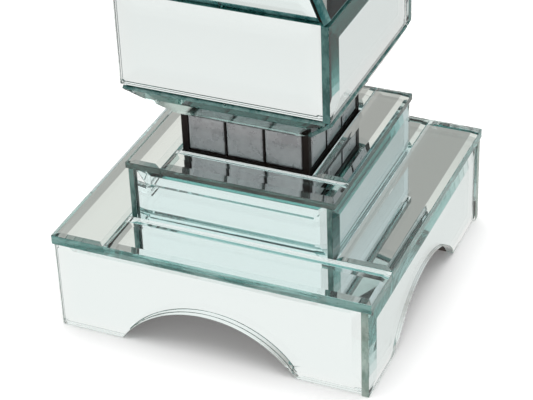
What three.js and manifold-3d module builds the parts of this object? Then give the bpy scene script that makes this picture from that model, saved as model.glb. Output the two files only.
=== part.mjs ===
// A mirrored vanity trinket box: a hinged, hip-roofed box standing on a tiled neck, a square step
// and an arched plinth. Every outer face is a bevelled mirror pane stuck to a board carcass.
//
// Lengths are millimetres, +Z is up and the front faces -Y. The origin is the middle of the
// footprint, on the table. Each side is drawn as the front one and turned about Z into its place.

import * as THREE from 'three';
import { mergeVertices } from 'three/addons/utils/BufferGeometryUtils.js';
import Module from 'manifold-3d';

const wasm = await Module();
wasm.setup();

// ---- Driving dimensions ----

const gap = 0.2;                // glue line or clearance between two neighbouring pieces
const board = 12;               // thickness of the hollow carcasses' walls and tops

// Kinds of mirror glass, each with the fall of its bevel at the pane's edge.
const glass = { thickness: 6, drop: 1.5 };        // upright panes of the plinth and the box
const thickGlass = { thickness: 7, drop: 1 };     // plinth's top strips and the lid
const stepGlass = { thickness: 5, drop: 1.8 };
const rimGlass = { thickness: 5, drop: 1 };       // step's top strips
const slimGlass = { thickness: 4, drop: 1.8 };    // box's underside

const padHeight = 1;
const padSide = 16;

const plinthHalf = 99.6;        // middle to the flat face of the plinth's side panes
const plinthTop = 59.6;         // top of the plinth's carcass and side panes
const plinthPaneFoot = 0.4;     // the panes hide the pads
const plinthBevel = 9;
const archHalfSpan = 55.9;      // at the foot of the arch
const archRise = 30;

// Bevel widths of a top strip: along its outer edge, at its right end, inside and at its left end.
const ledgeHalf = 100;          // outer edge of the plinth's top strips
const ledgeInner = 65.7;        // their inner edge, around the step
const ledgeBevels = [4.5, 3, 3, 3];

const stepHalf = 65.5;
const stepTop = 99.3;
const stepBevel = 7.5;
const rimInner = 42.6;          // inner edge of the step's top strips, around the neck
const rimBevels = [5.2, 3, 4.4, 3];

const neckHalf = 40;
const neckTop = 128.4;
const tileSide = 23;
const tilePitch = 24.2;
const tileDepth = 3;
const tileFoot = 104;           // height of the tiles' lower edge
const tilesPerSide = 3;

const undersideFootHalf = 42;   // lower outer edge of the underside's panes
const undersideFoot = 128.6;
const undersideRun = 22;        // how far they spread from foot to head
const undersideRise = 23.8;
const undersideBevel = 6;

const boxHalf = 65.1;
const boxFoot = 154.8;
const boxTop = 214;
const boxBevel = 11;
const wellHalf = 48.6;          // the box's inside, before its lining
const wellFloor = 158;
const liningWall = 2.2;
const liningFloor = 5;          // a thicker cushion

const lidFoot = 214.2;
const lidSlope = THREE.MathUtils.degToRad(42);
const lidPeakHalf = 30;         // upper outer edge of the lid's sloping panes
const lidBevel = 6;
const lidTopHalf = 32;
const lidTopBevel = 8;
const lidRecessHalf = 46;
const lidRecessDepth = 6;
const hipGap = 1.3;             // the dark line left open beside each hip

const stemRadius = 2;
const stemHoleRadius = 2.4;
const stemDepth = 10;           // how far the stem reaches below the lid's top pane
const rosetteRadius = 8;
const rosetteHeight = 2.6;
const knobRadius = 12.5;
const knobHeight = 21;
const knobSpigot = 6;

const hingeSpacing = 64;        // between the middles of the two hinges
const hingeWidth = 22;
const hingeStandOff = 2.6;      // from the box's back face to the hinge's axis
const barrelRadius = 1.9;
const pinRadius = 0.75;
const boreRadius = 1;
const knuckles = 5;
const knuckleGap = 0.3;
const leafThickness = 0.8;
const leafReach = 16.5;         // from the hinge's axis to the leaf's far edge

// ---- Heights and places that follow from them ----

const thickEdge = thickGlass.thickness - thickGlass.drop;
const behindGlass = glass.thickness + gap;
const undersideSlope = Math.atan2(undersideRise, undersideRun);
const slimEdge = slimGlass.thickness - slimGlass.drop;
const undersideSetIn = slimEdge * Math.sin(undersideSlope);
const undersideSetUp = slimEdge * Math.cos(undersideSlope);
const carcassFoot = padHeight + gap;
const ledgeFoot = plinthTop + gap;
const stepFoot = plinthTop + gap;
const rimFoot = stepTop + gap;
const neckFoot = stepTop + gap;
const seam = (boxTop + lidFoot) / 2;
const hingeY = boxHalf + hingeStandOff;

// The sloping panes start with their back lower edge on the lid's foot and their outer lower edge
// flush with the box's faces.
const lidPaneFootHalf = boxHalf - thickEdge * Math.sin(lidSlope);
const lidPaneLength = (boxHalf - lidPeakHalf) / Math.cos(lidSlope);
const lidPeak = lidFoot + thickEdge * Math.cos(lidSlope) + lidPaneLength * Math.sin(lidSlope);
const lidTopFoot = lidPeak + gap;
const knobFoot = lidTopFoot + thickGlass.thickness + gap;

// ---- Finishes ----

const finish = {
  mirror: { color: 0xdde6e4, metalness: 1, roughness: 0.03 },
  tile: { color: 0x7d8484, metalness: 0.5, roughness: 0.15 },
  grout: { color: 0x1d1512, metalness: 0, roughness: 0.6 },
  board: { color: 0x2b1d16, metalness: 0, roughness: 0.7 },
  velvet: { color: 0x3c4048, metalness: 0, roughness: 1 },
  felt: { color: 0x2b2b2b, metalness: 0, roughness: 1 },
  steel: { color: 0xc4c4c2, metalness: 1, roughness: 0.25 },
  crystal: { color: 0xeef6f5, metalness: 0, roughness: 0.02 },
};

const sides = ['front', 'right', 'back', 'left'];
const model = new THREE.Group();

// ---- Geometry helpers ----

// Joins rings of points, all with the same count and turning the same way, into a closed solid.
// The first and last rings are convex and become its flat ends.
function loft(rings) {
  const count = rings[0].length;
  const last = (rings.length - 1) * count;
  const index = [];
  for (let start = 0; start < last; start += count) {
    for (let i = 0; i < count; i += 1) {
      const here = start + i;
      const next = start + ((i + 1) % count);
      index.push(here, next, next + count, here, next + count, here + count);
    }
  }
  for (let i = 1; i + 1 < count; i += 1) {
    index.push(0, i + 1, i, last, last + i, last + i + 1);
  }
  const geometry = new THREE.BufferGeometry();
  const positions = rings.flat().flatMap((point) => point.toArray());
  geometry.setAttribute('position', new THREE.Float32BufferAttribute(positions, 3));
  geometry.setIndex(index);
  return geometry;
}

function ringAt(outline, height) {
  return outline.map((point) => new THREE.Vector3(point.x, point.y, height));
}

function rectangle(left, right, near, far) {
  return [
    new THREE.Vector2(left, near),
    new THREE.Vector2(right, near),
    new THREE.Vector2(right, far),
    new THREE.Vector2(left, far),
  ];
}

function trapezoid(footHalf, headHalf, height) {
  return [
    new THREE.Vector2(-footHalf, 0),
    new THREE.Vector2(footHalf, 0),
    new THREE.Vector2(headHalf, height),
    new THREE.Vector2(-headHalf, height),
  ];
}

function squareAt(half, height) {
  return ringAt(rectangle(-half, half, -half, half), height);
}

function regularPolygonAt(radius, count, height, turn) {
  return Array.from({ length: count }, (_, i) => {
    const angle = turn + (2 * Math.PI * i) / count;
    return new THREE.Vector3(radius * Math.cos(angle), radius * Math.sin(angle), height);
  });
}

// Moves each edge of a convex, anticlockwise outline inwards by its own distance. Edge i runs from
// point i to point i + 1.
function insetBy(outline, distances) {
  const count = outline.length;
  const edges = outline.map((point, i) => {
    const along = outline[(i + 1) % count].clone().sub(point).normalize();
    const inward = new THREE.Vector2(-along.y, along.x);
    return { along, start: point.clone().addScaledVector(inward, distances[i]) };
  });
  return edges.map((edge, i) => {
    const before = edges[(i + count - 1) % count];
    const between = edge.start.clone().sub(before.start);
    const reach = between.cross(edge.along) / before.along.cross(edge.along);
    return before.start.clone().addScaledVector(before.along, reach);
  });
}

// A glass pane with its silvered back on z = 0, square-cut edges and a bevel around its face. The
// bevel has one width for each of the outline's edges.
function pane(outline, bevels, kind = glass) {
  return loft([
    ringAt(outline, 0),
    ringAt(outline, kind.thickness - kind.drop),
    ringAt(insetBy(outline, bevels), kind.thickness),
  ]);
}

function fourTimes(value) {
  return [value, value, value, value];
}

function block(left, right, near, far, low, high) {
  const outline = rectangle(left, right, near, far);
  return loft([ringAt(outline, low), ringAt(outline, high)]);
}

function squareBlock(half, low, high) {
  return block(-half, half, -half, half, low, high);
}

function uprightCylinder(radius, low, high, segments = 24) {
  return new THREE.CylinderGeometry(radius, radius, high - low, segments)
    .rotateX(Math.PI / 2)
    .translate(0, 0, (low + high) / 2);
}

// A cylinder along X, as the hinge's barrel and pin are.
function lyingCylinder(radius, left, right, segments) {
  return new THREE.CylinderGeometry(radius, radius, right - left, segments)
    .rotateZ(Math.PI / 2)
    .translate((left + right) / 2, 0, 0);
}

function toSolid(geometry) {
  const bare = geometry.clone();
  bare.deleteAttribute('normal');
  bare.deleteAttribute('uv');
  const merged = mergeVertices(bare, 1e-4);
  return new wasm.Manifold(new wasm.Mesh({
    numProp: 3,
    vertProperties: new Float32Array(merged.attributes.position.array),
    triVerts: new Uint32Array(merged.index.array),
  }));
}

function toGeometry(solid) {
  const mesh = solid.getMesh();
  const geometry = new THREE.BufferGeometry();
  geometry.setAttribute('position', new THREE.BufferAttribute(mesh.vertProperties, 3));
  geometry.setIndex(new THREE.BufferAttribute(mesh.triVerts, 1));
  return geometry;
}

function cut(geometry, tools) {
  return toGeometry(tools.reduce((solid, tool) => solid.subtract(toSolid(tool)), toSolid(geometry)));
}

function join(pieces) {
  return toGeometry(pieces.map(toSolid).reduce((all, piece) => all.add(piece)));
}

// ---- Placing helpers ----

function named(name, geometry, look) {
  const mesh = new THREE.Mesh(geometry, new THREE.MeshStandardMaterial(finish[look]));
  mesh.name = name;
  return mesh;
}

// Adds a mesh drawn for the front to the given side.
function addToSide(side, mesh) {
  const turned = new THREE.Group();
  turned.rotation.z = (sides.indexOf(side) * Math.PI) / 2;
  turned.add(mesh);
  model.add(turned);
  return mesh;
}

// Cuts a placed mesh with tools drawn in the model's own frame.
function cutInPlace(mesh, tools) {
  mesh.updateWorldMatrix(true, false);
  const intoMesh = mesh.matrixWorld.clone().invert();
  mesh.geometry = cut(mesh.geometry, tools.map((tool) => tool.clone().applyMatrix4(intoMesh)));
}

// At each upright corner one pane runs to the corner and shows its ground end there, and the other
// stops behind it. These two say which of a pane's ends, seen from outside, stop behind another.
function likePinwheel() {
  return { left: false, right: true };
}

function betweenSides(side) {
  const stops = side === 'front' || side === 'back';
  return { left: stops, right: stops };
}

// An upright pane on one side, from low to high, with its flat face at the given half width.
function addUprightPane(name, side, half, low, high, bevel, meeting, kind = glass) {
  const stops = meeting(side);
  const left = -half + (stops.left ? kind.thickness + gap : 0);
  const right = half - (stops.right ? kind.thickness + gap : 0);
  const geometry = pane(rectangle(left, right, 0, high - low), fourTimes(bevel), kind);
  const mesh = named(name, geometry, 'mirror');
  mesh.rotation.x = Math.PI / 2;
  mesh.position.set(0, kind.thickness - half, low);
  return addToSide(side, mesh);
}

// Four strips around a square opening. Each one runs from its left-hand neighbour's inner edge to
// the outer edge on its right, like the sails of a pinwheel.
function addStrips(prefix, outer, inner, foot, bevels, kind) {
  for (const side of sides) {
    const outline = rectangle(-inner + gap, outer, -outer, -inner);
    const mesh = named(`${prefix}_${side}`, pane(outline, bevels, kind), 'mirror');
    mesh.position.z = foot;
    addToSide(side, mesh);
  }
}

// ---- Plinth ----

// The arch in one side is the top of a cylinder laid across that wall. It is centred on the pane,
// which stops short of the plinth's full width at its right.
function archTool(side) {
  const radius = (archHalfSpan ** 2 + archRise ** 2) / (2 * archRise);
  return new THREE.CylinderGeometry(radius, radius, plinthHalf, 120)
    .translate(-behindGlass / 2, -plinthHalf, plinthPaneFoot + archRise - radius)
    .rotateZ((sides.indexOf(side) * Math.PI) / 2);
}

function addPlinth() {
  const half = plinthHalf - behindGlass;
  const carcass = cut(squareBlock(half, carcassFoot, plinthTop), [
    squareBlock(half - board, 0, plinthTop - board),
    ...sides.map(archTool),
  ]);
  model.add(named('plinth_carcass', carcass, 'board'));
  for (const side of sides) {
    const name = `plinth_mirror_${side}`;
    const place = [plinthHalf, plinthPaneFoot, plinthTop, plinthBevel, likePinwheel];
    cutInPlace(addUprightPane(name, side, ...place), [archTool(side)]);
  }
  addStrips('plinth_top_mirror', ledgeHalf, ledgeInner, ledgeFoot, ledgeBevels, thickGlass);
}

function addFootPads() {
  const place = plinthHalf - behindGlass - padSide / 2 - 1;
  const outline = rectangle(-padSide / 2, padSide / 2, -padSide / 2, padSide / 2);
  for (const side of sides) {
    const foot = insetBy(outline, fourTimes(0.4));
    const geometry = loft([ringAt(foot, 0), ringAt(outline, padHeight)]);
    const mesh = named(`foot_pad_${side}_corner`, geometry, 'felt');
    mesh.position.set(place, -place, 0);
    addToSide(side, mesh);
  }
}

// ---- Step ----

function addStep() {
  const half = stepHalf - stepGlass.thickness - gap;
  const carcass = cut(squareBlock(half, stepFoot, stepTop), [
    squareBlock(half - board, 0, stepTop - board),
  ]);
  model.add(named('step_carcass', carcass, 'board'));
  for (const side of sides) {
    const place = [stepHalf, stepFoot, stepTop, stepBevel, betweenSides, stepGlass];
    addUprightPane(`step_mirror_${side}`, side, ...place);
  }
  addStrips('step_top_mirror', stepHalf, rimInner, rimFoot, rimBevels, rimGlass);
}

// ---- Neck ----

// Distance from the side's middle to each tile's middle.
function tileOffsets() {
  return Array.from({ length: tilesPerSide }, (_, i) => (i - (tilesPerSide - 1) / 2) * tilePitch);
}

function addNeck() {
  const pocketHalf = tileSide / 2 + gap;
  const pocketFloor = neckHalf - tileDepth;
  const pockets = sides.flatMap((_, turn) => tileOffsets().map((offset) => block(
    offset - pocketHalf,
    offset + pocketHalf,
    -neckHalf - 1,
    -pocketFloor,
    tileFoot - gap,
    tileFoot + tileSide + gap,
  ).rotateZ((turn * Math.PI) / 2)));
  const frame = cut(squareBlock(neckHalf, neckFoot, neckTop), pockets);
  model.add(named('neck_frame', frame, 'grout'));
  for (const side of sides) {
    tileOffsets().forEach((offset, i) => addTile(`neck_tile_${side}_${i + 1}`, side, offset));
  }
}

// One square of cushion-edged glass, standing a little proud of the frame.
function addTile(name, side, offset) {
  const outline = rectangle(-tileSide / 2, tileSide / 2, 0, tileSide);
  const geometry = pane(outline, fourTimes(1.6), { thickness: tileDepth, drop: 0.7 });
  const mesh = named(name, geometry, 'tile');
  mesh.rotation.x = Math.PI / 2;
  mesh.position.set(offset, tileDepth - neckHalf - gap, tileFoot);
  addToSide(side, mesh);
}

// ---- Sloping panes, on the box's underside and the lid ----

// Two sloping panes meet at each hip. One reaches it with a square-cut end, and the other, on its
// left, stops where it clears that end.
function slopingPane(footHalf, headHalf, length, slope, bevel, kind) {
  const betweenFaces = Math.PI - Math.acos(Math.cos(slope) ** 2);
  const endReach = (kind.thickness - kind.drop) * Math.cos(betweenFaces - Math.PI / 2);
  const outline = insetBy(trapezoid(footHalf, headHalf, length), [0, endReach + hipGap, 0, 0]);
  return pane(outline, fourTimes(bevel), kind);
}

// These panes stop short of the box's side panes and leave a dark line below them.
function addUnderside() {
  const headHalf = undersideFootHalf + undersideRun;
  const length = undersideRun / Math.cos(undersideSlope);
  for (const side of sides) {
    const size = [undersideFootHalf, headHalf, length, undersideSlope, undersideBevel];
    const mesh = named(`underside_mirror_${side}`, slopingPane(...size, slimGlass), 'mirror');
    mesh.rotation.x = Math.PI - undersideSlope;
    mesh.position.set(0, undersideSetIn - undersideFootHalf, undersideFoot + undersideSetUp);
    addToSide(side, mesh);
  }
}

// ---- Box ----

// The box's board body. Its tapered foot carries the underside's panes.
function boxCarcass() {
  const footHalf = undersideFootHalf - undersideSetIn - 2 * gap;
  const taperFoot = undersideFoot + undersideSetUp;
  const half = boxHalf - behindGlass;
  const body = loft([
    squareAt(footHalf, undersideFoot),
    squareAt(footHalf, taperFoot),
    squareAt(footHalf + undersideRun, taperFoot + undersideRise),
    squareAt(half, boxFoot),
    squareAt(half, boxTop),
  ]);
  return cut(body, [squareBlock(wellHalf, wellFloor, boxTop + 1), ...leafPockets(half, -1)]);
}

// An open tray of velvet-covered card that drops into the box.
function boxLining() {
  const outer = wellHalf - gap;
  const inner = outer - liningWall;
  const foot = wellFloor + gap;
  return cut(squareBlock(outer, foot, boxTop - 0.6), [
    squareBlock(inner, foot + liningFloor, boxTop + 1),
  ]);
}

function addBox() {
  model.add(named('box_carcass', boxCarcass(), 'board'));
  model.add(named('box_lining', boxLining(), 'velvet'));
  for (const side of sides) {
    const place = [boxHalf, boxFoot, boxTop, boxBevel, likePinwheel];
    const mesh = addUprightPane(`box_mirror_${side}`, side, ...place);
    if (side === 'back') {
      cutInPlace(mesh, leafPockets(boxHalf, -1));
    }
  }
}

// ---- Lid ----

function lidCarcass() {
  const behindPane = 0.3;
  const footHalf = lidPaneFootHalf - behindPane;
  const backLength = lidPaneLength * Math.cos(lidSlope);
  const backRise = lidPaneLength * Math.sin(lidSlope);
  const body = loft([
    squareAt(footHalf, lidFoot),
    squareAt(footHalf - backLength, lidFoot + backRise),
    squareAt(footHalf - backLength, lidPeak),
  ]);
  return cut(body, [
    squareBlock(lidRecessHalf, lidFoot - 1, lidFoot + lidRecessDepth),
    uprightCylinder(stemHoleRadius, lidTopFoot - stemDepth - 1, lidPeak + 1),
    ...leafPockets(footHalf, 1),
  ]);
}

// A soft pad that fills the recess under the lid.
function lidLining() {
  const half = lidRecessHalf - gap;
  const low = lidFoot + 0.6;
  const high = lidFoot + lidRecessDepth - gap;
  return loft([squareAt(half - 2, low), squareAt(half, low + 2), squareAt(half, high)]);
}

function addLid() {
  model.add(named('lid_carcass', lidCarcass(), 'board'));
  model.add(named('lid_lining', lidLining(), 'velvet'));
  for (const side of sides) {
    const size = [boxHalf, lidPeakHalf, lidPaneLength, lidSlope, lidBevel];
    const mesh = named(`lid_mirror_${side}`, slopingPane(...size, thickGlass), 'mirror');
    mesh.rotation.x = lidSlope;
    mesh.position.set(0, -lidPaneFootHalf, lidFoot);
    addToSide(side, mesh);
    if (side === 'back') {
      cutInPlace(mesh, leafPockets(boxHalf, 1));
    }
  }
  const outline = rectangle(-lidTopHalf, lidTopHalf, -lidTopHalf, lidTopHalf);
  const hole = uprightCylinder(stemHoleRadius, -1, thickGlass.thickness + 1);
  const geometry = cut(pane(outline, fourTimes(lidTopBevel), thickGlass), [hole]);
  const top = named('lid_mirror_top', geometry, 'mirror');
  top.position.z = lidTopFoot;
  model.add(top);
}

// ---- Knob ----

// A turned metal rosette with a stud below it, into the lid, and a spigot above it, into the knob.
function knobStem() {
  const tip = -thickGlass.thickness - gap - stemDepth;
  const profile = [
    new THREE.Vector2(0, tip),
    new THREE.Vector2(stemRadius, tip),
    new THREE.Vector2(stemRadius, 0),
    new THREE.Vector2(rosetteRadius, 0),
    new THREE.Vector2(rosetteRadius, 1),
    new THREE.Vector2(rosetteRadius - 1.2, 1.6),
    new THREE.Vector2(rosetteRadius - 3, rosetteHeight),
    new THREE.Vector2(stemRadius, rosetteHeight),
    new THREE.Vector2(stemRadius, rosetteHeight + knobSpigot - 1),
    new THREE.Vector2(0, rosetteHeight + knobSpigot - 1),
  ];
  return new THREE.LatheGeometry(profile, 32).rotateX(Math.PI / 2);
}

// A faceted crystal: eight-sided rings, each turned half a facet from the one below.
function knobCrystal() {
  const facets = 8;
  const levels = [
    [0.42, 0],
    [0.86, 0.2],
    [1, 0.48],
    [0.78, 0.8],
    [0.44, 1],
  ];
  const rings = levels.map(([radius, height], level) => (
    regularPolygonAt(radius * knobRadius, facets, height * knobHeight, -level * Math.PI / facets)
  ));
  return cut(loft(rings), [uprightCylinder(stemHoleRadius, -1, knobSpigot)]);
}

function addKnob() {
  const stem = named('knob_stem', knobStem(), 'steel');
  stem.position.z = knobFoot;
  const crystal = named('knob_crystal', knobCrystal(), 'crystal');
  crystal.position.z = knobFoot + rosetteHeight + gap;
  model.add(stem, crystal);
}

// ---- Hinges ----

function hingeMiddles() {
  return [-hingeSpacing / 2, hingeSpacing / 2];
}

// Shallow pockets that take the leaves: below the seam for the box, above it for the lid.
function leafPockets(faceHalf, upOrDown) {
  const clear = 0.3;
  const depth = upOrDown * (gap / 2 + leafThickness + clear);
  const past = -upOrDown;
  return hingeMiddles().map((middle) => block(
    middle - hingeWidth / 2 - clear,
    middle + hingeWidth / 2 + clear,
    hingeY - leafReach - clear,
    faceHalf + 1,
    seam + Math.min(depth, past),
    seam + Math.max(depth, past),
  ));
}

// One leaf, with its axis on the local X axis: a plate with every other knuckle of the barrel.
function hingeLeaf(firstKnuckle, upOrDown) {
  const length = hingeWidth / knuckles;
  const near = upOrDown * gap * 0.75;
  const far = upOrDown * (gap * 0.75 + leafThickness);
  const low = Math.min(near, far);
  const high = Math.max(near, far);
  const plateEdge = -hingeStandOff + gap;
  const pieces = [block(-hingeWidth / 2, hingeWidth / 2, -leafReach, plateEdge, low, high)];
  for (let i = firstKnuckle; i < knuckles; i += 2) {
    const left = -hingeWidth / 2 + i * length + knuckleGap / 2;
    const right = left + length - knuckleGap;
    pieces.push(lyingCylinder(barrelRadius, left, right, 32));
    pieces.push(block(left, right, plateEdge - 1, 0, low, high));
  }
  return cut(join(pieces), [lyingCylinder(boreRadius, -hingeWidth, hingeWidth, 24)]);
}

function hingePin() {
  const half = hingeWidth / 2;
  return join([
    lyingCylinder(pinRadius, -half - 0.5, half + 0.5, 24),
    lyingCylinder(barrelRadius - 0.3, -half - 1.2, -half - 0.2, 24),
    lyingCylinder(barrelRadius - 0.3, half + 0.2, half + 1.2, 24),
  ]);
}

function addHinges() {
  const labels = ['left', 'right'];
  hingeMiddles().forEach((middle, i) => {
    const hinge = new THREE.Group();
    hinge.position.set(middle, hingeY, seam);
    hinge.add(named(`hinge_box_leaf_${labels[i]}`, hingeLeaf(0, -1), 'steel'));
    hinge.add(named(`hinge_lid_leaf_${labels[i]}`, hingeLeaf(1, 1), 'steel'));
    hinge.add(named(`hinge_pin_${labels[i]}`, hingePin(), 'steel'));
    model.add(hinge);
  });
}

addFootPads();
addPlinth();
addStep();
addNeck();
addUnderside();
addBox();
addLid();
addKnob();
addHinges();

export default model;
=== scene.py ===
"""Looks for a mirrored vanity trinket box: bevelled mirror glass, smoky mosaic, velvet and nickel.

Lengths are metres, +Z is up and the front faces -Y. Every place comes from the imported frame.
"""

import math

import bmesh
import bpy
from mathutils import Matrix, Vector


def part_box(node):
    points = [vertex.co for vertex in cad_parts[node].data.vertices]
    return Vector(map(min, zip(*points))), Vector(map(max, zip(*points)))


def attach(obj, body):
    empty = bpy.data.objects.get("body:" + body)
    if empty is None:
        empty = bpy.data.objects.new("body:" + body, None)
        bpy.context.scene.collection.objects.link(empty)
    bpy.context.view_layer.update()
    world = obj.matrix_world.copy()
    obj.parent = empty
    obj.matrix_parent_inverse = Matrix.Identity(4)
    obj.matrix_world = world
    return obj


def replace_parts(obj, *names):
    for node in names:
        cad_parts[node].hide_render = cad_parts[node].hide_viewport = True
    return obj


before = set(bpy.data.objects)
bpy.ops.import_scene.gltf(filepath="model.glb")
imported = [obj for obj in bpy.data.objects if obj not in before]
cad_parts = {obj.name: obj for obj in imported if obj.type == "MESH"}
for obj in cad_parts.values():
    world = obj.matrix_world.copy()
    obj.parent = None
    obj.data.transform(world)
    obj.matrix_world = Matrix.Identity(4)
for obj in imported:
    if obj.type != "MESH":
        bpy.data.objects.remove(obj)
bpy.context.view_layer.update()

MM = 0.001
SIDES = ("front", "right", "back", "left")
LID_SLOPE = math.radians(42)
UNDERSIDE_SLOPE = math.radians(47.25)
ARRIS = 0.3 * MM              # the tiny rounding that polishing leaves on a glass edge
GLASS_IOR = 1.52
ARCH_HALF_SPAN = 60 * MM      # just wider than the plinth's arches, off their middle included
# Stretch of the edge streaks: grinding marks and painted marbled reflection.
UPRIGHT_STREAKS = (1, 1, 0.45)
FLAT_STREAKS = (0.25, 0.25, 2.0)
CHANNELS_PER_SIDE = 8         # upright seams in the padded walls
POINTS_PER_CHANNEL = 8
WALL_ROWS = 12
WALL = 2.2 * MM               # how far the padded walls reach in from the well's sides
WALL_ROLL = 1.6 * MM          # how far below their top the rolled edge starts
CUSHION_CORNER = 4 * MM
CUSHION_SIDES = 96            # points round a cushion's outline
CORD_RADIUS = 0.6 * MM
CORD_SIDES = 10
CORD_POINTS = 360
SCREW_RADIUS = 1.35 * MM
SCREW_SPOKES = 24
SCREW_PLACES = ((-7.0, -6.0), (0.0, -11.5), (7.0, -6.0))   # mm across and along the leaf
SCREW_DEPTH = 0.15 * MM       # from the hinge's axis to the rim of a screw's head


# ---- Node helpers ----

class Shader:
    """A material's or a world's node tree, with short ways to add nodes and join them."""

    def __init__(self, tree):
        self.tree = tree
        self.tree.nodes.clear()

    def add(self, kind, **settings):
        node = self.tree.nodes.new(kind)
        for name, value in settings.items():
            setattr(node, name, value)
        return node

    def join(self, source, target):
        self.tree.links.new(source, target)

    def feed(self, socket, value):
        if isinstance(value, bpy.types.NodeSocket):
            self.join(value, socket)
        else:
            socket.default_value = value

    def math(self, operation, first, second=0.0):
        node = self.add("ShaderNodeMath", operation=operation)
        self.feed(node.inputs[0], first)
        self.feed(node.inputs[1], second)
        return node.outputs[0]

    def dot(self, first, second):
        node = self.add("ShaderNodeVectorMath", operation="DOT_PRODUCT")
        self.feed(node.inputs[0], first)
        self.feed(node.inputs[1], second)
        return node.outputs["Value"]

    def ramp(self, value, low, high, start=0.0, end=1.0):
        """A smooth step from start at low to end at high."""
        node = self.add("ShaderNodeMapRange", interpolation_type="SMOOTHSTEP", clamp=True)
        for socket, number in zip(node.inputs, (value, low, high, start, end)):
            self.feed(socket, number)
        return node.outputs[0]

    def mix(self, factor, first, second):
        node = self.add("ShaderNodeMix", data_type="RGBA")
        self.feed(node.inputs["Factor"], factor)
        colours = [s for s in node.inputs if s.type == "RGBA"]
        self.feed(colours[0], first)
        self.feed(colours[1], second)
        return next(s for s in node.outputs if s.type == "RGBA")

    def noise(self, scale, detail=3.0, roughness=0.5, stretch=(1, 1, 1)):
        place = self.add("ShaderNodeTexCoord").outputs["Object"]
        mapping = self.add("ShaderNodeMapping")
        self.join(place, mapping.inputs["Vector"])
        mapping.inputs["Scale"].default_value = stretch
        node = self.add("ShaderNodeTexNoise")
        self.join(mapping.outputs[0], node.inputs["Vector"])
        node.inputs["Scale"].default_value = scale
        node.inputs["Detail"].default_value = detail
        node.inputs["Roughness"].default_value = roughness
        return node.outputs["Fac"]

    def bump(self, height, strength, distance):
        node = self.add("ShaderNodeBump")
        self.feed(node.inputs["Height"], height)
        node.inputs["Strength"].default_value = strength
        node.inputs["Distance"].default_value = distance
        return node.outputs[0]

    def principled(self, **inputs):
        node = self.add("ShaderNodeBsdfPrincipled")
        for name, value in inputs.items():
            self.feed(node.inputs[name.replace("_", " ")], value)
        return node

    def output(self, surface, volume=None):
        node = self.add("ShaderNodeOutputMaterial")
        self.join(surface, node.inputs["Surface"])
        if volume is not None:
            self.join(volume, node.inputs["Volume"])


def new_material(name):
    material = bpy.data.materials.new(name)
    material.use_nodes = True
    return material, Shader(material.node_tree)


def rgb(red, green, blue):
    return (red, green, blue, 1.0)


# ---- Materials ----

def mirror_material(name, back, look, measure, polished, stretch, opaque):
    """Clear blue-green glass, silvered on the face that looks along back.

    The look holds two colours for the ground edges as they are seen from outside, the share of
    light that is left each time the face turns it back into the glass, and the silver's colour.
    The callers set the edge colours and the share lighter or darker group by group, as painted
    light and shade.
    The edges are clear from inside, and from both sides where the measure of the two horizontal
    coordinates stays below polished. Where the measure is the smaller of the two, the rounded
    arrises are ground all round. The edge streaks run the way that stretch is smallest: partly
    grinding marks, partly painted reflection, the marbling seen inside a glass edge. Opaque is how
    little light gets through the ground edges.
    """
    dark, light, kept, silver = look
    material, s = new_material(name)
    coordinates = s.add("ShaderNodeTexCoord")
    from_inside = s.add("ShaderNodeNewGeometry").outputs["Backfacing"]
    outwards = s.ramp(from_inside, 0.0, 1.0, 1.0, -1.0)
    facing_back = s.math("MULTIPLY", s.dot(coordinates.outputs["Normal"], back), outwards)
    silvered = s.ramp(facing_back, 0.98, 0.995)
    slant = s.math("ABSOLUTE", facing_back)
    edge = s.ramp(slant, 0.6, 0.9, 1.0, 0.0)
    edge = s.math("MULTIPLY", edge, s.math("SUBTRACT", 1.0, from_inside))
    place = s.add("ShaderNodeSeparateXYZ")
    s.join(coordinates.outputs["Object"], place.inputs[0])
    across, along = [s.math("ABSOLUTE", place.outputs[axis]) for axis in "XY"]
    reach = s.math(measure, across, along)
    edge = s.math("MULTIPLY", edge, s.ramp(reach, polished + 0.5 * MM, polished + 1.0 * MM))
    if measure == "MINIMUM":
        arris = s.math("MULTIPLY", s.ramp(slant, 0.1, 0.3), s.ramp(slant, 0.93, 0.95, 1.0, 0.0))
        edge = s.math("MAXIMUM", edge, arris)
    face = s.ramp(facing_back, -0.9, -0.6, 1.0, 0.0)
    fresnel = s.add("ShaderNodeFresnel")
    fresnel.inputs["IOR"].default_value = GLASS_IOR
    total = s.math("GREATER_THAN", fresnel.outputs[0], 0.999)
    trapped = s.math("MULTIPLY", s.math("MULTIPLY", total, from_inside), face)
    smudge = s.noise(34.0, 4.0, 0.6)
    chatter = s.noise(420.0, 3.0, 0.6)
    # Streaks between the edge colours: grinding marks and painted reflection, the marbling seen
    # inside a glass edge.
    swirl = s.noise(130.0, 5.0, 0.7, stretch=stretch)
    roughness = s.math("ADD", s.ramp(smudge, 0.35, 0.75, 0.0, 0.03), s.math("MULTIPLY", edge, 0.12))
    ground = s.mix(s.ramp(swirl, 0.36, 0.62), dark, light)
    ground = s.mix(s.ramp(chatter, 0.55, 0.7, 0.0, 0.4), ground, dark)
    # Edge colour from the look: partly the ground edge's own tone, partly painted light and shade.
    tint = s.mix(edge, rgb(1, 1, 1), ground)
    # The kept share dims light turned back inside the face; its level per group is painted light and
    # shade.
    tint = s.mix(trapped, tint, kept)
    tint = s.mix(silvered, tint, silver)
    clear = s.math("SUBTRACT", 1.0, s.math("MAXIMUM", silvered, s.math("MULTIPLY", edge, opaque)))
    glass = s.principled(
        Base_Color=tint, Roughness=roughness, Metallic=s.math("MAXIMUM", silvered, trapped),
        IOR=GLASS_IOR, Transmission_Weight=clear)
    body = s.add("ShaderNodeVolumeAbsorption")
    body.inputs["Color"].default_value = rgb(0.35, 0.81, 0.82)
    body.inputs["Density"].default_value = 10.0
    s.output(glass.outputs[0], body.outputs[0])
    return material


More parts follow.
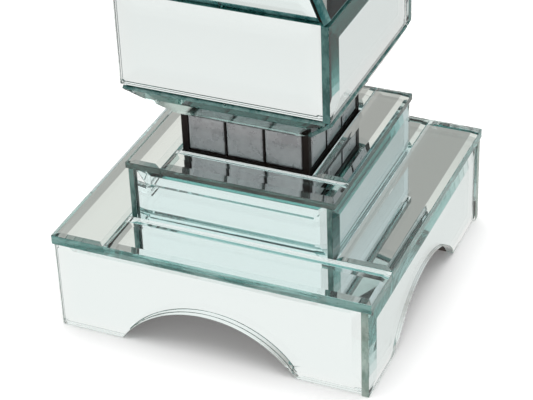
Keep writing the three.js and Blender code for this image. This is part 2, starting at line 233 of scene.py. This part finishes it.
def tile_material():
    """Smoky rippled glass over grey foil."""
    material, s = new_material("smoked_tile")
    cloud = s.noise(70.0, 5.0, 0.65)
    streak = s.noise(180.0, 3.0, 0.5, stretch=(1, 1, 2.5))
    base = s.mix(s.ramp(cloud, 0.3, 0.7), rgb(0.25, 0.26, 0.275), rgb(0.42, 0.44, 0.455))
    base = s.mix(s.ramp(streak, 0.6, 0.8, 0.0, 0.4), base, rgb(0.10, 0.10, 0.105))
    ripple = s.noise(95.0, 2.0, 0.4)
    tile = s.principled(
        Base_Color=base, Metallic=0.5, Roughness=s.ramp(cloud, 0.3, 0.7, 0.22, 0.38),
        Normal=s.bump(ripple, 0.35, 0.8 * MM), Coat_Weight=1.0, Coat_Roughness=0.04)
    s.output(tile.outputs[0])
    return material


def frame_material():
    """Near-black stained board with a trace of brown."""
    material, s = new_material("dark_frame")
    grain = s.noise(120.0, 6.0, 0.6, stretch=(1, 1, 0.3))
    base = s.mix(s.ramp(grain, 0.35, 0.7), rgb(0.004, 0.0035, 0.0035), rgb(0.018, 0.012, 0.010))
    wood = s.principled(
        Base_Color=base, Specular_IOR_Level=0.2, Roughness=s.ramp(grain, 0.3, 0.7, 0.35, 0.6),
        Normal=s.bump(grain, 0.25, 0.3 * MM))
    s.output(wood.outputs[0])
    return material


def board_material():
    """Medium-density board coloured near black as painted shade for the gaps and arches it shows
    through, with reddish fibres in patches.
    """
    material, s = new_material("board")
    fibre = s.noise(900.0, 4.0, 0.7, stretch=(1, 1, 0.5))
    cloud = s.noise(25.0, 3.0, 0.5)
    # Near black: painted shade for the gaps and arches where the board shows.
    base = s.mix(s.ramp(fibre, 0.3, 0.75), rgb(0.006, 0.005, 0.005), rgb(0.025, 0.018, 0.014))
    base = s.mix(s.ramp(cloud, 0.45, 0.75, 0.0, 0.5), base, rgb(0.045, 0.022, 0.014))
    wood = s.principled(
        Base_Color=base, Specular_IOR_Level=0.2, Roughness=s.ramp(fibre, 0.3, 0.7, 0.6, 0.9),
        Normal=s.bump(fibre, 0.4, 0.2 * MM))
    s.output(wood.outputs[0])
    return material


def velvet_material():
    """Charcoal velvet: a dark pile that brightens where it is seen edge-on."""
    material, s = new_material("velvet")
    pile = s.noise(2200.0, 2.0, 0.6)
    nap = s.noise(45.0, 4.0, 0.55)
    base = s.mix(s.ramp(nap, 0.3, 0.7), rgb(0.018, 0.020, 0.027), rgb(0.055, 0.060, 0.075))
    base = s.mix(s.ramp(pile, 0.4, 0.8, 0.0, 0.5), base, rgb(0.09, 0.095, 0.11))
    cloth = s.principled(
        Base_Color=base, Roughness=s.ramp(nap, 0.3, 0.7, 0.85, 1.0), Specular_IOR_Level=0.15,
        Sheen_Weight=0.9, Sheen_Roughness=0.35, Sheen_Tint=rgb(0.62, 0.66, 0.76),
        Normal=s.bump(pile, 0.5, 0.25 * MM))
    s.output(cloth.outputs[0])
    return material


def felt_material():
    """Dense black wool felt."""
    material, s = new_material("felt")
    wool = s.noise(1500.0, 5.0, 0.7)
    base = s.mix(s.ramp(wool, 0.3, 0.75), rgb(0.008, 0.008, 0.009), rgb(0.045, 0.045, 0.05))
    cloth = s.principled(
        Base_Color=base, Roughness=s.ramp(wool, 0.3, 0.7, 0.9, 1.0),
        Sheen_Weight=0.4, Normal=s.bump(wool, 0.6, 0.2 * MM))
    s.output(cloth.outputs[0])
    return material


def steel_material():
    """Nickel plate with fine brushing and a little tarnish."""
    material, s = new_material("bright_steel")
    brush = s.noise(1400.0, 2.0, 0.5, stretch=(0.08, 1, 1))
    tarnish = s.noise(60.0, 2.0, 0.5)
    base = s.mix(s.ramp(tarnish, 0.4, 0.8), rgb(0.66, 0.645, 0.61), rgb(0.58, 0.56, 0.52))
    metal = s.principled(
        Base_Color=base, Metallic=1.0, Roughness=s.ramp(brush, 0.3, 0.7, 0.2, 0.28),
        Normal=s.bump(brush, 0.05, 0.02 * MM))
    s.output(metal.outputs[0])
    return material


def crystal_material():
    """Clear lead crystal with polishing marks too fine to see one by one."""
    material, s = new_material("crystal")
    polish = s.noise(60.0, 3.0, 0.5)
    tint = s.mix(polish, rgb(0.965, 0.985, 0.98), rgb(0.99, 1.0, 0.995))
    glass = s.principled(
        Base_Color=tint, Roughness=s.ramp(polish, 0.4, 0.8, 0.0, 0.02), IOR=1.62,
        Transmission_Weight=1.0)
    s.output(glass.outputs[0])
    return material


# ---- Finishing the CAD pieces ----

def set_material(node, material):
    mesh_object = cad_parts[node]
    mesh_object.data.materials.clear()
    mesh_object.data.materials.append(material)


def soften_edges(node, width, segments=2):
    """Rounds a piece's sharp edges without touching its own vertices."""
    mesh_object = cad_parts[node]
    weld = mesh_object.modifiers.new("weld", "WELD")
    weld.merge_threshold = 0.01 * MM
    bevel = mesh_object.modifiers.new("arris", "BEVEL")
    bevel.width = width
    bevel.segments = segments
    bevel.limit_method = "ANGLE"
    bevel.angle_limit = math.radians(5)
    bevel.use_clamp_overlap = True


def turned(vector, side):
    """A direction drawn for the front, turned to another side."""
    quarter = Matrix.Rotation(SIDES.index(side) * math.pi / 2, 3, "Z")
    return quarter @ Vector(vector)


def finish_panes():
    """Each pane is silvered on the face towards the board behind it."""
    lid_back = (0, math.sin(LID_SLOPE), -math.cos(LID_SLOPE))
    underside_back = (0, math.sin(UNDERSIDE_SLOPE), math.cos(UNDERSIDE_SLOPE))
    silver = rgb(0.925, 0.94, 0.94)
    # A dimmer copy of the same silver for the underside panes: painted shade.
    painted_shade_silver = rgb(0.62, 0.72, 0.70)
    # Each group's edge colours and kept share follow how bright its edges show, not a different
    # glass: painted light and shade.
    lid_look = (rgb(0.03, 0.15, 0.15), rgb(0.17, 0.37, 0.36), rgb(0.50, 0.66, 0.68), silver)
    slopes = {
        # the front pane's back, how its polished edges are found and how far out, then its look,
        # whose edge colours and kept share are set lighter or darker by group as painted light and
        # shade
        "plinth_mirror": ((0, 1, 0), "MINIMUM", ARCH_HALF_SPAN, (
            rgb(0.22, 0.32, 0.27), rgb(0.42, 0.52, 0.47), rgb(0.97, 0.98, 0.97), silver)),
        "step_mirror": ((0, 1, 0), "MINIMUM", 0.0, (
            rgb(0.03, 0.10, 0.09), rgb(0.20, 0.34, 0.31), rgb(0.75, 0.90, 0.88), silver)),
        "box_mirror": ((0, 1, 0), "MINIMUM", 0.0, (
            rgb(0.01, 0.10, 0.09), rgb(0.09, 0.25, 0.235), rgb(0.46, 0.69, 0.67), silver)),
        "underside_mirror": (underside_back, "MINIMUM", 0.0, (
            rgb(0.02, 0.14, 0.13), rgb(0.20, 0.36, 0.34), rgb(0.75, 0.88, 0.87), painted_shade_silver)),
        "lid_mirror": (lid_back, "MINIMUM", 0.0, lid_look),
    }
    # The flat strips' edge colours and kept shares differ by group the same way: painted light and
    # shade.
    flats = {
        "plinth_top_mirror": (
            rgb(0.08, 0.30, 0.27), rgb(0.50, 0.76, 0.72), rgb(0.97, 0.98, 0.97), silver),
        "step_top_mirror": (
            rgb(0.05, 0.08, 0.065), rgb(0.20, 0.27, 0.24), rgb(0.92, 0.95, 0.95), silver),
    }
    for prefix, (back, measure, polished, look) in slopes.items():
        for side in SIDES:
            name = f"{prefix}_{side}"
            material = mirror_material(
                name, turned(back, side), look, measure, polished, UPRIGHT_STREAKS, 0.8)
            set_material(name, material)
    for prefix, look in flats.items():
        inner = -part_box(f"{prefix}_front")[1].y
        material = mirror_material(
            prefix, (0, 0, -1), look, "MAXIMUM", inner, FLAT_STREAKS, 0.4)
        for side in SIDES:
            set_material(f"{prefix}_{side}", material)
    top = mirror_material("lid_top", (0, 0, -1), lid_look, "MAXIMUM", 0.0, FLAT_STREAKS, 0.8)
    set_material("lid_mirror_top", top)
    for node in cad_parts:
        if "mirror" in node:
            soften_edges(node, ARRIS)


def finish_solids():
    board = board_material()
    steel = steel_material()
    tile = tile_material()
    felt = felt_material()
    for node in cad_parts:
        if node.endswith("_carcass"):
            set_material(node, board)
        elif node.startswith("hinge_") or node == "knob_stem":
            set_material(node, steel)
        elif node.startswith("neck_tile"):
            set_material(node, tile)
            soften_edges(node, 0.5 * MM, 3)
        elif node.startswith("foot_pad"):
            set_material(node, felt)
    set_material("neck_frame", frame_material())
    set_material("knob_crystal", crystal_material())


# ---- Velvet linings ----

def link(new_object):
    bpy.context.scene.collection.objects.link(new_object)
    return new_object


def rounded_square(half, corner, steps):
    """Points round a square with rounded corners, anticlockwise from above, with equal counts."""
    points = []
    for quarter in range(4):
        start = quarter * math.pi / 2
        middle = Vector((half - corner, half - corner, 0))
        for step in range(steps + 1):
            angle = math.pi / 2 * step / steps
            offset = Vector((math.cos(angle), math.sin(angle), 0)) * corner
            points.append(Matrix.Rotation(start, 3, "Z") @ (middle + offset))
    return points


def resample(points, count):
    """The same closed path as count points, equally far apart."""
    lengths = [(points[(i + 1) % len(points)] - p).length for i, p in enumerate(points)]
    stride = sum(lengths) / count
    result = []
    done = 0.0
    index = 0
    for i in range(count):
        while i * stride > done + lengths[index]:
            done += lengths[index]
            index += 1
        share = (i * stride - done) / lengths[index]
        result.append(points[index].lerp(points[(index + 1) % len(points)], share))
    return result


def mesh_from_rings(name, rings, material):
    """A closed skin over rings of points, whose last ring joins the first."""
    count = len(rings[0])
    points = [point for ring in rings for point in ring]
    faces = []
    for r in range(len(rings)):
        here = r * count
        there = (r + 1) % len(rings) * count
        for i in range(count):
            j = (i + 1) % count
            faces.append((here + i, here + j, there + j, there + i))
    mesh = bpy.data.meshes.new(name)
    mesh.from_pydata(points, [], faces)
    face_outwards(mesh)
    mesh.shade_smooth()
    mesh.materials.append(material)
    return link(bpy.data.objects.new(name, mesh))


def face_outwards(mesh):
    """Turns every face of a closed mesh so that its normal points out."""
    skin = bmesh.new()
    skin.from_mesh(mesh)
    bmesh.ops.recalc_face_normals(skin, faces=skin.faces)
    skin.to_mesh(mesh)
    skin.free()


def subdivide(mesh_object):
    modifier = mesh_object.modifiers.new("smooth", "SUBSURF")
    modifier.levels = 1
    modifier.render_levels = 1


def padded_walls(name, node, material):
    """The tray's sides: velvet over thin wadding, sewn in upright channels, rolled at the top."""
    low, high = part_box(node)
    half = high.x
    roll_foot = high.z - WALL_ROLL
    corners = rounded_square(half, 2.5 * MM, 6)
    path = resample(corners, len(SIDES) * CHANNELS_PER_SIDE * POINTS_PER_CHANNEL)
    rings = []
    for i, point in enumerate(path):
        before = path[i - 1]
        after = path[(i + 1) % len(path)]
        along = (after - before).normalized()
        inwards = Vector((-along.y, along.x, 0))
        swell = abs(math.sin(math.pi * (i / POINTS_PER_CHANNEL)))
        ring = [Vector((point.x, point.y, low.z + 0.4 * MM))]
        ring.append(Vector((point.x, point.y, roll_foot)))
        for turn in range(1, 5):
            angle = math.pi * turn / 5
            reach = 0.5 * WALL * (1 - math.cos(angle))
            rise = math.sin(angle) * 1.2 * MM
            ring.append(point + inwards * reach + Vector((0, 0, roll_foot + rise)))
        for row in range(WALL_ROWS + 1):
            share = row / WALL_ROWS
            height = high.z - 1.8 * MM - share * (high.z - low.z - 4.4 * MM)
            fullness = math.sin(math.pi * min(1.0, 0.06 + 0.94 * share)) ** 0.35
            depth = 1.0 * MM + 1.2 * MM * swell ** 0.6 * fullness
            ring.append(point + inwards * depth + Vector((0, 0, height)))
        ring.append(point + inwards * WALL * 0.5 + Vector((0, 0, low.z + 0.6 * MM)))
        rings.append(ring)
    walls = mesh_from_rings(name, rings, material)
    subdivide(walls)
    return walls


def cushion_slab(name, half, low, high):
    """A thin square slab with its sides pulled in a little between the corners, remeshed finely."""
    outline = resample(rounded_square(half, CUSHION_CORNER, 6), CUSHION_SIDES)
    centre = Vector((0, 0, 0))
    pulled = []
    for point in outline:
        bow = 1.0 - abs(abs(point.x) - abs(point.y)) / half
        pulled.append(point.lerp(centre, 0.018 * (1.0 - bow)))
    middle = (low + high) / 2
    rings = []
    for height, shrink in ((low, 0.97), (middle, 1.0), (high, 0.97)):
        rings.append([Vector((p.x * shrink, p.y * shrink, height)) for p in pulled])
    mesh = bpy.data.meshes.new(name)
    points = [point for ring in rings for point in ring]
    count = CUSHION_SIDES
    faces = [tuple(range(count - 1, -1, -1)), tuple(2 * count + i for i in range(count))]
    for r in range(2):
        here = r * count
        there = here + count
        for i in range(count):
            j = (i + 1) % count
            faces.append((here + i, here + j, there + j, there + i))
    mesh.from_pydata(points, [], faces)
    slab = link(bpy.data.objects.new(name, mesh))
    remesh = slab.modifiers.new("remesh", "REMESH")
    remesh.mode = "VOXEL"
    remesh.voxel_size = 1.6 * MM
    return slab


def bake(mesh_object):
    """Replaces an object's mesh with what its modifiers make of it."""
    graph = bpy.context.evaluated_depsgraph_get()
    mesh = bpy.data.meshes.new_from_object(mesh_object.evaluated_get(graph))
    mesh_object.modifiers.clear()
    mesh_object.data = mesh
    return mesh


def inflate(mesh_object, furthest):
    """Swells a cushion with a cloth simulation. No point moves further than the given distance."""
    mesh = bake(mesh_object)
    rest = [vertex.co.copy() for vertex in mesh.vertices]
    cloth = mesh_object.modifiers.new("cloth", "CLOTH")
    cloth.settings.quality = 6
    cloth.settings.mass = 0.05
    cloth.settings.tension_stiffness = 8.0
    cloth.settings.compression_stiffness = 8.0
    cloth.settings.shear_stiffness = 3.0
    cloth.settings.bending_stiffness = 0.05
    cloth.settings.use_pressure = True
    cloth.settings.uniform_pressure_force = 4.0
    cloth.settings.shrink_min = -0.05
    cloth.settings.effector_weights.gravity = 0.0
    cloth.collision_settings.use_collision = False
    scene = bpy.context.scene
    for number in range(1, 21):
        scene.frame_set(number)
    swollen = bake(mesh_object)
    for vertex, start in zip(swollen.vertices, rest):
        move = vertex.co - start
        if move.length > furthest:
            vertex.co = start + move.normalized() * furthest
    scene.frame_set(1)
    return swollen


def padded_cushion(name, half, low, high, crown, crown_up, material):
    """A velvet cushion, flat on the side that rests on board and crowned on the other.

    Before it is swollen it fills low to high, less the crown.
    """
    if crown_up:
        cushion = cushion_slab(name, half, low, high - crown)
    else:
        cushion = cushion_slab(name, half, low + crown, high)
    mesh = inflate(cushion, crown)
    flat = low if crown_up else high
    for vertex in mesh.vertices:
        vertex.co.x = max(-half, min(half, vertex.co.x))
        vertex.co.y = max(-half, min(half, vertex.co.y))
        past = flat - vertex.co.z if crown_up else vertex.co.z - flat
        if past > 0:
            vertex.co.z = flat
    mesh.shade_smooth()
    mesh.materials.clear()
    mesh.materials.append(material)
    subdivide(cushion)
    return cushion


def piping(name, half, height, material):
    """A twisted cord round a cushion's seam."""
    path = resample(rounded_square(half, CUSHION_CORNER, 8), CORD_POINTS)
    rings = []
    for i, point in enumerate(path):
        along = (path[(i + 1) % len(path)] - path[i - 1]).normalized()
        outwards = Vector((along.y, -along.x, 0))
        ring = []
        for step in range(CORD_SIDES):
            angle = 2 * math.pi * step / CORD_SIDES
            strand = 1.0 + 0.14 * math.cos(2 * angle + i * 2 * math.pi / 9)
            reach = CORD_RADIUS * strand
            offset = outwards * math.cos(angle) * reach + Vector((0, 0, math.sin(angle) * reach))
            ring.append(point + offset + Vector((0, 0, height)))
        rings.append(ring)
    return mesh_from_rings(name, rings, material)


def add_linings():
    """Velvet over wadding in the well and the lid, each piece inside the CAD solid it stands for."""
    velvet = velvet_material()
    low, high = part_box("box_lining")
    walls = padded_walls("lining_walls", "box_lining", velvet)
    inside = high.x - 2.9 * MM
    heights = [vertex.co.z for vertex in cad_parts["box_lining"].data.vertices]
    floor_high = max(z for z in heights if z < (low.z + high.z) / 2)
    floor = padded_cushion("lining_floor", inside, low.z, floor_high, 2.2 * MM, True, velvet)
    cord_height = (low.z + floor_high) / 2
    cord = piping("lining_floor_cord", inside - 0.3 * MM, cord_height, velvet)
    for piece in (walls, floor, cord):
        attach(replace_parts(piece, "box_lining"), "box")
    low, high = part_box("lid_lining")
    pad = padded_cushion("lid_pad", high.x - 1.4 * MM, low.z, high.z, 2.0 * MM, False, velvet)
    cord = piping("lid_pad_cord", high.x - 0.75 * MM, low.z + 2.2 * MM, velvet)
    for piece in (pad, cord):
        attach(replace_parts(piece, "lid_lining"), "lid")


# ---- Hinge screws ----

def screw_head(points, faces, centre, up):
    """Adds a closed countersunk head: a shallow dome with a sunk cross, facing up or down."""
    spokes = SCREW_SPOKES
    first = len(points)
    levels = (
        # share of the radius, height in millimetres
        (1.0, -0.45), (1.0, 0.0), (0.86, 0.05), (0.55, 0.09), (0.2, 0.1))
    for share, height in levels:
        reach = share * SCREW_RADIUS
        for i in range(spokes):
            angle = 2 * math.pi * i / spokes
            in_slot = i % (spokes // 4) == 0 and share < 0.8
            rise = (-0.25 if in_slot else height) * MM * up
            points.append(centre + Vector((math.cos(angle) * reach, math.sin(angle) * reach, rise)))
    for level in range(len(levels) - 1):
        for i in range(spokes):
            j = (i + 1) % spokes
            a = first + level * spokes
            faces.append((a + i, a + j, a + spokes + j, a + spokes + i))
    last = first + (len(levels) - 1) * spokes
    faces.append(tuple(last + i for i in range(spokes)))
    faces.append(tuple(first + i for i in reversed(range(spokes))))


def add_screws():
    """Three screws in each hinge leaf, which show when the lid is open."""
    steel = steel_material()
    for body, up in (("box", 1), ("lid", -1)):
        points = []
        faces = []
        for end in ("left", "right"):
            pin_low, pin_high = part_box(f"hinge_pin_{end}")
            axis = (pin_low + pin_high) / 2
            face_height = axis.z - up * SCREW_DEPTH
            for across, along in SCREW_PLACES:
                place = Vector((axis.x + across * MM, axis.y + along * MM, face_height))
                screw_head(points, faces, place, up)
        mesh = bpy.data.meshes.new(f"hinge_screws_{body}")
        mesh.from_pydata(points, [], faces)
        face_outwards(mesh)
        mesh.materials.append(steel)
        screws = link(bpy.data.objects.new(f"hinge_screws_{body}", mesh))
        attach(screws, body)


# ---- Stage ----

def add_floor():
    """A white sweep: the camera sees shadows on it, and the glass sees it as a warm glow with
    painted shade, dimmer towards the front and the back and over the floor to the object's right.
    """
    half = 8.0
    mesh = bpy.data.meshes.new("floor")
    corners = [(-half, -half, 0), (half, -half, 0), (half, half, 0), (-half, half, 0)]
    mesh.from_pydata(corners, [], [(0, 1, 2, 3)])
    floor = link(bpy.data.objects.new("floor", mesh))
    material, s = new_material("white_sweep")
    seen = s.add("ShaderNodeLightPath").outputs["Is Camera Ray"]
    diffuse = s.add("ShaderNodeBsdfDiffuse")
    diffuse.inputs["Color"].default_value = rgb(0.88, 0.88, 0.88)
    haze = s.add("ShaderNodeEmission")
    haze.inputs["Strength"].default_value = 0.14
    sweep = s.add("ShaderNodeAddShader")
    s.join(diffuse.outputs[0], sweep.inputs[0])
    s.join(haze.outputs[0], sweep.inputs[1])
    place = s.add("ShaderNodeSeparateXYZ")
    s.join(s.add("ShaderNodeTexCoord").outputs["Object"], place.inputs[0])
    # Painted shade in the glow: dimmer towards the front and the back.
    level = s.ramp(place.outputs["Y"], -0.5, -0.12, 0.90, 0.99)
    level = s.math("MULTIPLY", level, s.ramp(place.outputs["Y"], -0.1, 0.35, 1.0, 0.88))
    # Painted shadow over the floor to the object's right, deepest towards the front.
    right = s.ramp(place.outputs["Y"], -0.03, 0.12, 0.86, 0.92)
    level = s.math("MULTIPLY", level, s.ramp(place.outputs["X"], 0.08, 0.11, 1.0, right))
    glow = s.add("ShaderNodeEmission")
    glow.inputs["Color"].default_value = rgb(1.0, 0.98, 0.96)
    s.join(level, glow.inputs["Strength"])
    surface = s.add("ShaderNodeMixShader")
    s.join(seen, surface.inputs[0])
    s.join(glow.outputs[0], surface.inputs[1])
    s.join(sweep.outputs[0], surface.inputs[2])
    s.output(surface.outputs[0])
    mesh.materials.append(material)


def direction(azimuth, elevation):
    """Azimuth 0 is towards +Y, the back; 90 is towards +X, the right."""
    a = math.radians(azimuth)
    e = math.radians(elevation)
    return Vector((math.sin(a) * math.cos(e), math.cos(a) * math.cos(e), math.sin(e)))


def add_world():
    """A white studio: the camera sees plain white, the glass sees soft boxes in warm grey, and the
    floor and the matt pieces are lit by a round lamp overhead."""
    world = bpy.data.worlds.new("studio")
    bpy.context.scene.world = world
    world.use_nodes = True
    s = Shader(world.node_tree)
    towards = s.add("ShaderNodeTexCoord").outputs["Generated"]
    path = s.add("ShaderNodeLightPath")
    colour = rgb(0.43, 0.415, 0.39)
    boxes = (
        # towards, full within, gone beyond, colour
        (direction(-75, 25), 42, 47, rgb(0.84, 0.81, 0.76)),
        (direction(60, 35), 25, 42, rgb(0.66, 0.68, 0.68)),
        (direction(-160, 32), 20, 65, rgb(0.97, 0.97, 0.95)),
        (direction(0, 90), 10, 16, rgb(3.0, 3.0, 3.0)),
    )
    for axis, full, gone, box_colour in boxes:
        colour = s.mix(within(s, towards, axis, full, gone), colour, box_colour)
    lamp = within(s, towards, direction(0, 90), 24, 36)
    lit = s.mix(lamp, rgb(0.44, 0.44, 0.44), rgb(4.0, 4.0, 4.0))
    colour = s.mix(path.outputs["Is Diffuse Ray"], colour, lit)
    background = s.add("ShaderNodeBackground")
    s.join(s.mix(path.outputs["Is Camera Ray"], colour, rgb(1, 1, 1)), background.inputs["Color"])
    output = s.add("ShaderNodeOutputWorld")
    s.join(background.outputs[0], output.inputs["Surface"])


def within(s, towards, axis, full, gone):
    """1 inside a cone of full degrees round the axis, and 0 outside one of gone degrees."""
    facing = s.dot(towards, axis)
    return s.ramp(facing, math.cos(math.radians(gone)), math.cos(math.radians(full)))


def add_camera():
    azimuth = math.radians(24.36)
    elevation = math.radians(33.23)
    roll = math.radians(-2.37)
    distance = 1.143
    target = Vector((-0.0057, 0.0, 0.0500))
    back = Vector((
        math.sin(azimuth) * math.cos(elevation),
        -math.cos(azimuth) * math.cos(elevation),
        math.sin(elevation)))
    camera = bpy.data.cameras.new("camera")
    camera.sensor_width = 36.0
    camera.lens = 125.8
    camera.clip_end = 100.0
    holder = link(bpy.data.objects.new("camera", camera))
    turn = (-back).to_track_quat("-Z", "Y").to_matrix()
    holder.matrix_world = (
        Matrix.Translation(target + distance * back)
        @ turn.to_4x4()
        @ Matrix.Rotation(roll, 4, "Z"))
    bpy.context.scene.camera = holder


def set_render():
    scene = bpy.context.scene
    scene.view_settings.view_transform = "Standard"
    scene.cycles.use_denoising = True
    scene.cycles.max_bounces = 32
    scene.cycles.diffuse_bounces = 5
    scene.cycles.glossy_bounces = 20
    scene.cycles.transmission_bounces = 24
    scene.cycles.transparent_max_bounces = 16
    scene.cycles.sample_clamp_indirect = 6.0


finish_panes()
finish_solids()
add_linings()
add_screws()
add_floor()
add_world()
add_camera()
set_render()
